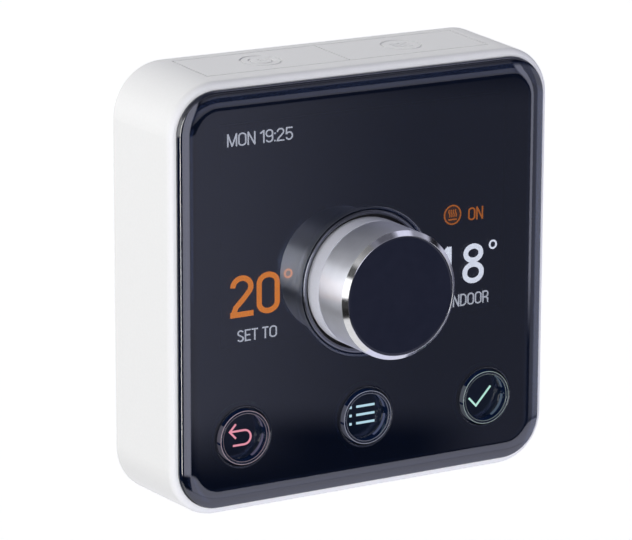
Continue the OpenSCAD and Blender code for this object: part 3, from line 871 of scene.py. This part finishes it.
def build_key(node, body, x, sign_quads):
    """A copy of the key with softened edges and a ring and a sign cut into its top."""
    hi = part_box(node)[1]
    slope = math.atan(KEY_FALL)
    top = hi.z - (hi.y - KEY_SIGN_Y) * KEY_FALL
    key = bpy.data.objects.new(node + "_top", NODES[node].data.copy())
    SCENE.collection.objects.link(key)
    soft = key.modifiers.new("soft", "BEVEL")
    soft.width = KEY_EDGE
    soft.segments = 3
    soft.limit_method = "ANGLE"
    soft.angle_limit = math.radians(50)
    surface = Matrix.Translation((x, KEY_SIGN_Y, top - ENGRAVE)) @ Matrix.Rotation(slope, 4, "X")
    ring = ribbon(curve_points(0, 0, 4.5, 4.5, 0, 356, 90), STROKE, True)
    cutter = prism("cutter", [ring, sign_quads], 1.0 * MM, WHITE, surface, lambda u, v: (u * MM, v * MM))
    cut = key.modifiers.new("cut", "BOOLEAN")
    cut.object = cutter
    cut.operation = "DIFFERENCE"
    cut.solver = "EXACT"
    apply_modifiers(key)
    bpy.data.objects.remove(cutter)
    for p in key.data.polygons:
        p.use_smooth = True
    key.data.set_sharp_from_angle(angle=math.radians(32))
    even = key.modifiers.new("even", "WEIGHTED_NORMAL")
    even.keep_sharp = True
    even.weight = 90
    key.data.materials.clear()
    key.data.materials.append(WHITE)
    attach(key, body)
    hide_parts(node)


hands = ribbon([(0.0, 1.7), (0.0, 0.0), (1.3, -0.7)], STROKE)
hands += ribbon(curve_points(0, 0, 2.6, 2.6, 120, 400, 40), STROKE)
waves = []
for k in (-1.3, 0.0, 1.3):
    wave = [(-2.2 + 4.4 * i / 20, k + 0.25 * math.sin(2 * math.pi * i / 10)) for i in range(21)]
    waves += ribbon(wave, STROKE)
build_key("left_key", "left_flap", -KEY_X, hands)
build_key("right_key", "right_flap", KEY_X, waves)


# ---------------------------------------------------------------- light and floor
world = bpy.data.worlds.new("studio")
SCENE.world = world
world.use_nodes = True
wt = world.node_tree


def wnode(kind, **values):
    node = wt.nodes.new(kind)
    for key, value in values.items():
        setattr(node, key, value)
    return node


def wmath(op, a, b=None):
    node = wnode("ShaderNodeMath", operation=op)
    for socket, value in zip(node.inputs, (a, b)):
        if value is None:
            continue
        if isinstance(value, (int, float)):
            socket.default_value = value
        else:
            wt.links.new(value, socket)
    return node.outputs[0]


def ramp(value, start, end, low=0.0, high=1.0):
    """Goes smoothly from low to high as value goes from start to end."""
    node = wnode("ShaderNodeMapRange", interpolation_type="SMOOTHSTEP")
    wt.links.new(value, node.inputs["Value"])
    for key, number in zip(("From Min", "From Max", "To Min", "To Max"), (start, end, low, high)):
        node.inputs[key].default_value = number
    return node.outputs["Result"]


direction = wnode("ShaderNodeTexCoord").outputs["Generated"]
split = wnode("ShaderNodeSeparateXYZ")
wt.links.new(direction, split.inputs[0])
DEGREES = 57.2958           # in a radian
# degrees to the right of straight in front of the object, and degrees above the horizon
toward = wmath("MULTIPLY", split.outputs["Y"], -1.0)
side = wmath("MULTIPLY", wmath("ARCTAN2", split.outputs["X"], toward), DEGREES)
height = wmath("MULTIPLY", wmath("ARCSINE", split.outputs["Z"]), DEGREES)


def panel(light, level, side_range, height_range, soft_side=(3, 3), soft_height=(3, 3)):
    """Paints a soft edged rectangle of one brightness over the light so far."""
    (s0, s1), (h0, h1) = side_range, height_range
    mask = wmath("MULTIPLY", ramp(side, s0 - soft_side[0], s0 + soft_side[0]),
                 ramp(side, s1 - soft_side[1], s1 + soft_side[1], 1.0, 0.0))
    mask = wmath("MULTIPLY", mask, ramp(height, h0 - soft_height[0], h0 + soft_height[0]))
    mask = wmath("MULTIPLY", mask, ramp(height, h1 - soft_height[1], h1 + soft_height[1], 1.0, 0.0))
    kept = wmath("MULTIPLY", light, wmath("SUBTRACT", 1.0, mask))
    return wmath("ADD", kept, wmath("MULTIPLY", mask, level))


# level, range of side and of height in degrees, and half widths of their soft edges
PANELS = (
    (0.36, (0, 150), (28, 75), (25, 25), (8, 12)),  # the dim upper right
    (1.5, (146, 200), (-34, 50), (8, 1), (6, 8)),  # behind, seen in the dial's side
    (1.5, (-200, -152), (-20, 50), (1, 6), (6, 8)),
    (0.95, (-180, 180), (-95, -34), (0.1, 0.1), (2, 2)),  # the floor, as gloss sees it
    (0.24, (-181, -80), (-95, -14), (1, 8), (2, 6)),  # its dim left side
    (0.02, (-110, 110), (-34, 24), (10, 10), (2, 4)),  # the dark room in front
    (0.14, (-2, 50), (26, 80), (8, 5), (3, 8)),
    (0.95, (58, 84), (44, 66), (3, 6), (3, 4)),
    (1.0, (5, 110), (-34.2, -19.5), (1.5, 8), (2, 0.8)),  # the floor reaches higher on the right
    (0.14, (8, 36), (-17.4, -11.7), (2, 2), (0.3, 0.4)),
    (0.34, (6, 30.2), (-17.0, -11.7), (4, 2.2), (0.35, 0.4)),  # the front light's fading end
    (0.02, (29.5, 32.7), (-19, -16.7), (1.2, 0.7), (0.3, 0.3)),
    (0.45, (12, 36), (-5.8, 5.3), (4, 3), (0.6, 0.8)),  # bands that the top edge mirrors
    (0.35, (12, 36), (15, 21), (4, 3), (0.8, 1)),
    (1.6, (-9.8, 7.5), (-20, 22), (1.2, 1.6), (2, 4)),  # front soft box
    (6.7, (-44, -24), (-20, 20), (3, 2), (2, 4)),  # bright left soft box
    (1.95, (-150, -50), (-8, 26)),  # left soft box
    (0.1, (-60, -46), (17, 34), (3, 3), (3, 4)),  # dark gaps that the dial's bevel mirrors
    (0.05, (-72, -50), (-21, -9), (3, 3), (2, 2)),
    (0.03, (112, 140), (-31, -20), (4, 4), (3, 3)),
    (0.05, (108, 118), (-14, -4), (3, 3), (2, 2)),
    (1.35, (36.8, 44.5), (-15.0, 12), (1.3, 1.5), (0.6, 4)),  # right light strip
    (0.34, (44.5, 57), (-18, 12), (1.5, 2), (2, 4)),
    (0.75, (57, 110), (-18, 10), (2, 8), (2, 4)),  # right soft box
)
light = ramp(height, 25.0, 60.0, 0.8, 0.24)
for patch in PANELS:
    light = panel(light, *patch)
studio = wt.nodes["Background"]
wt.links.new(light, studio.inputs["Strength"])
front_mask = wmath("MULTIPLY", ramp(side, -26.0, -14.0), ramp(side, 110.0, 135.0, 1.0, 0.0))
tint = wnode("ShaderNodeMix", data_type="RGBA")
tint.inputs["A"].default_value = (1.0, 1.0, 1.0, 1.0)
tint.inputs["B"].default_value = (0.93, 0.94, 1.16, 1.0)
wt.links.new(front_mask, tint.inputs["Factor"])
wt.links.new(tint.outputs["Result"], studio.inputs["Color"])
plain = wnode("ShaderNodeBackground")
plain.inputs["Color"].default_value = (1.0, 1.0, 1.0, 1.0)
mix = wnode("ShaderNodeMixShader")
wt.links.new(wnode("ShaderNodeLightPath").outputs["Is Camera Ray"], mix.inputs[0])
wt.links.new(studio.outputs[0], mix.inputs[1])
wt.links.new(plain.outputs[0], mix.inputs[2])
wt.links.new(mix.outputs[0], wt.nodes["World Output"].inputs["Surface"])

FLOOR_HALF = 8.0            # metres
FLOOR_Z = -0.35
FLOOR_GLOW = 0.45
floor_paint = material("floor_white", (0.9, 0.9, 0.9), 0.7)
shader(floor_paint).inputs["Emission Color"].default_value = (1.0, 1.0, 1.0, 1.0)
shader(floor_paint).inputs["Emission Strength"].default_value = FLOOR_GLOW
bm = bmesh.new()
bmesh.ops.create_grid(bm, x_segments=1, y_segments=1, size=FLOOR_HALF)
floor = new_object("floor", bm, floor_paint)
floor.location = (0, 0, FLOOR_Z)
floor.visible_glossy = False
floor.visible_diffuse = False
floor.visible_transmission = False
floor.visible_shadow = False
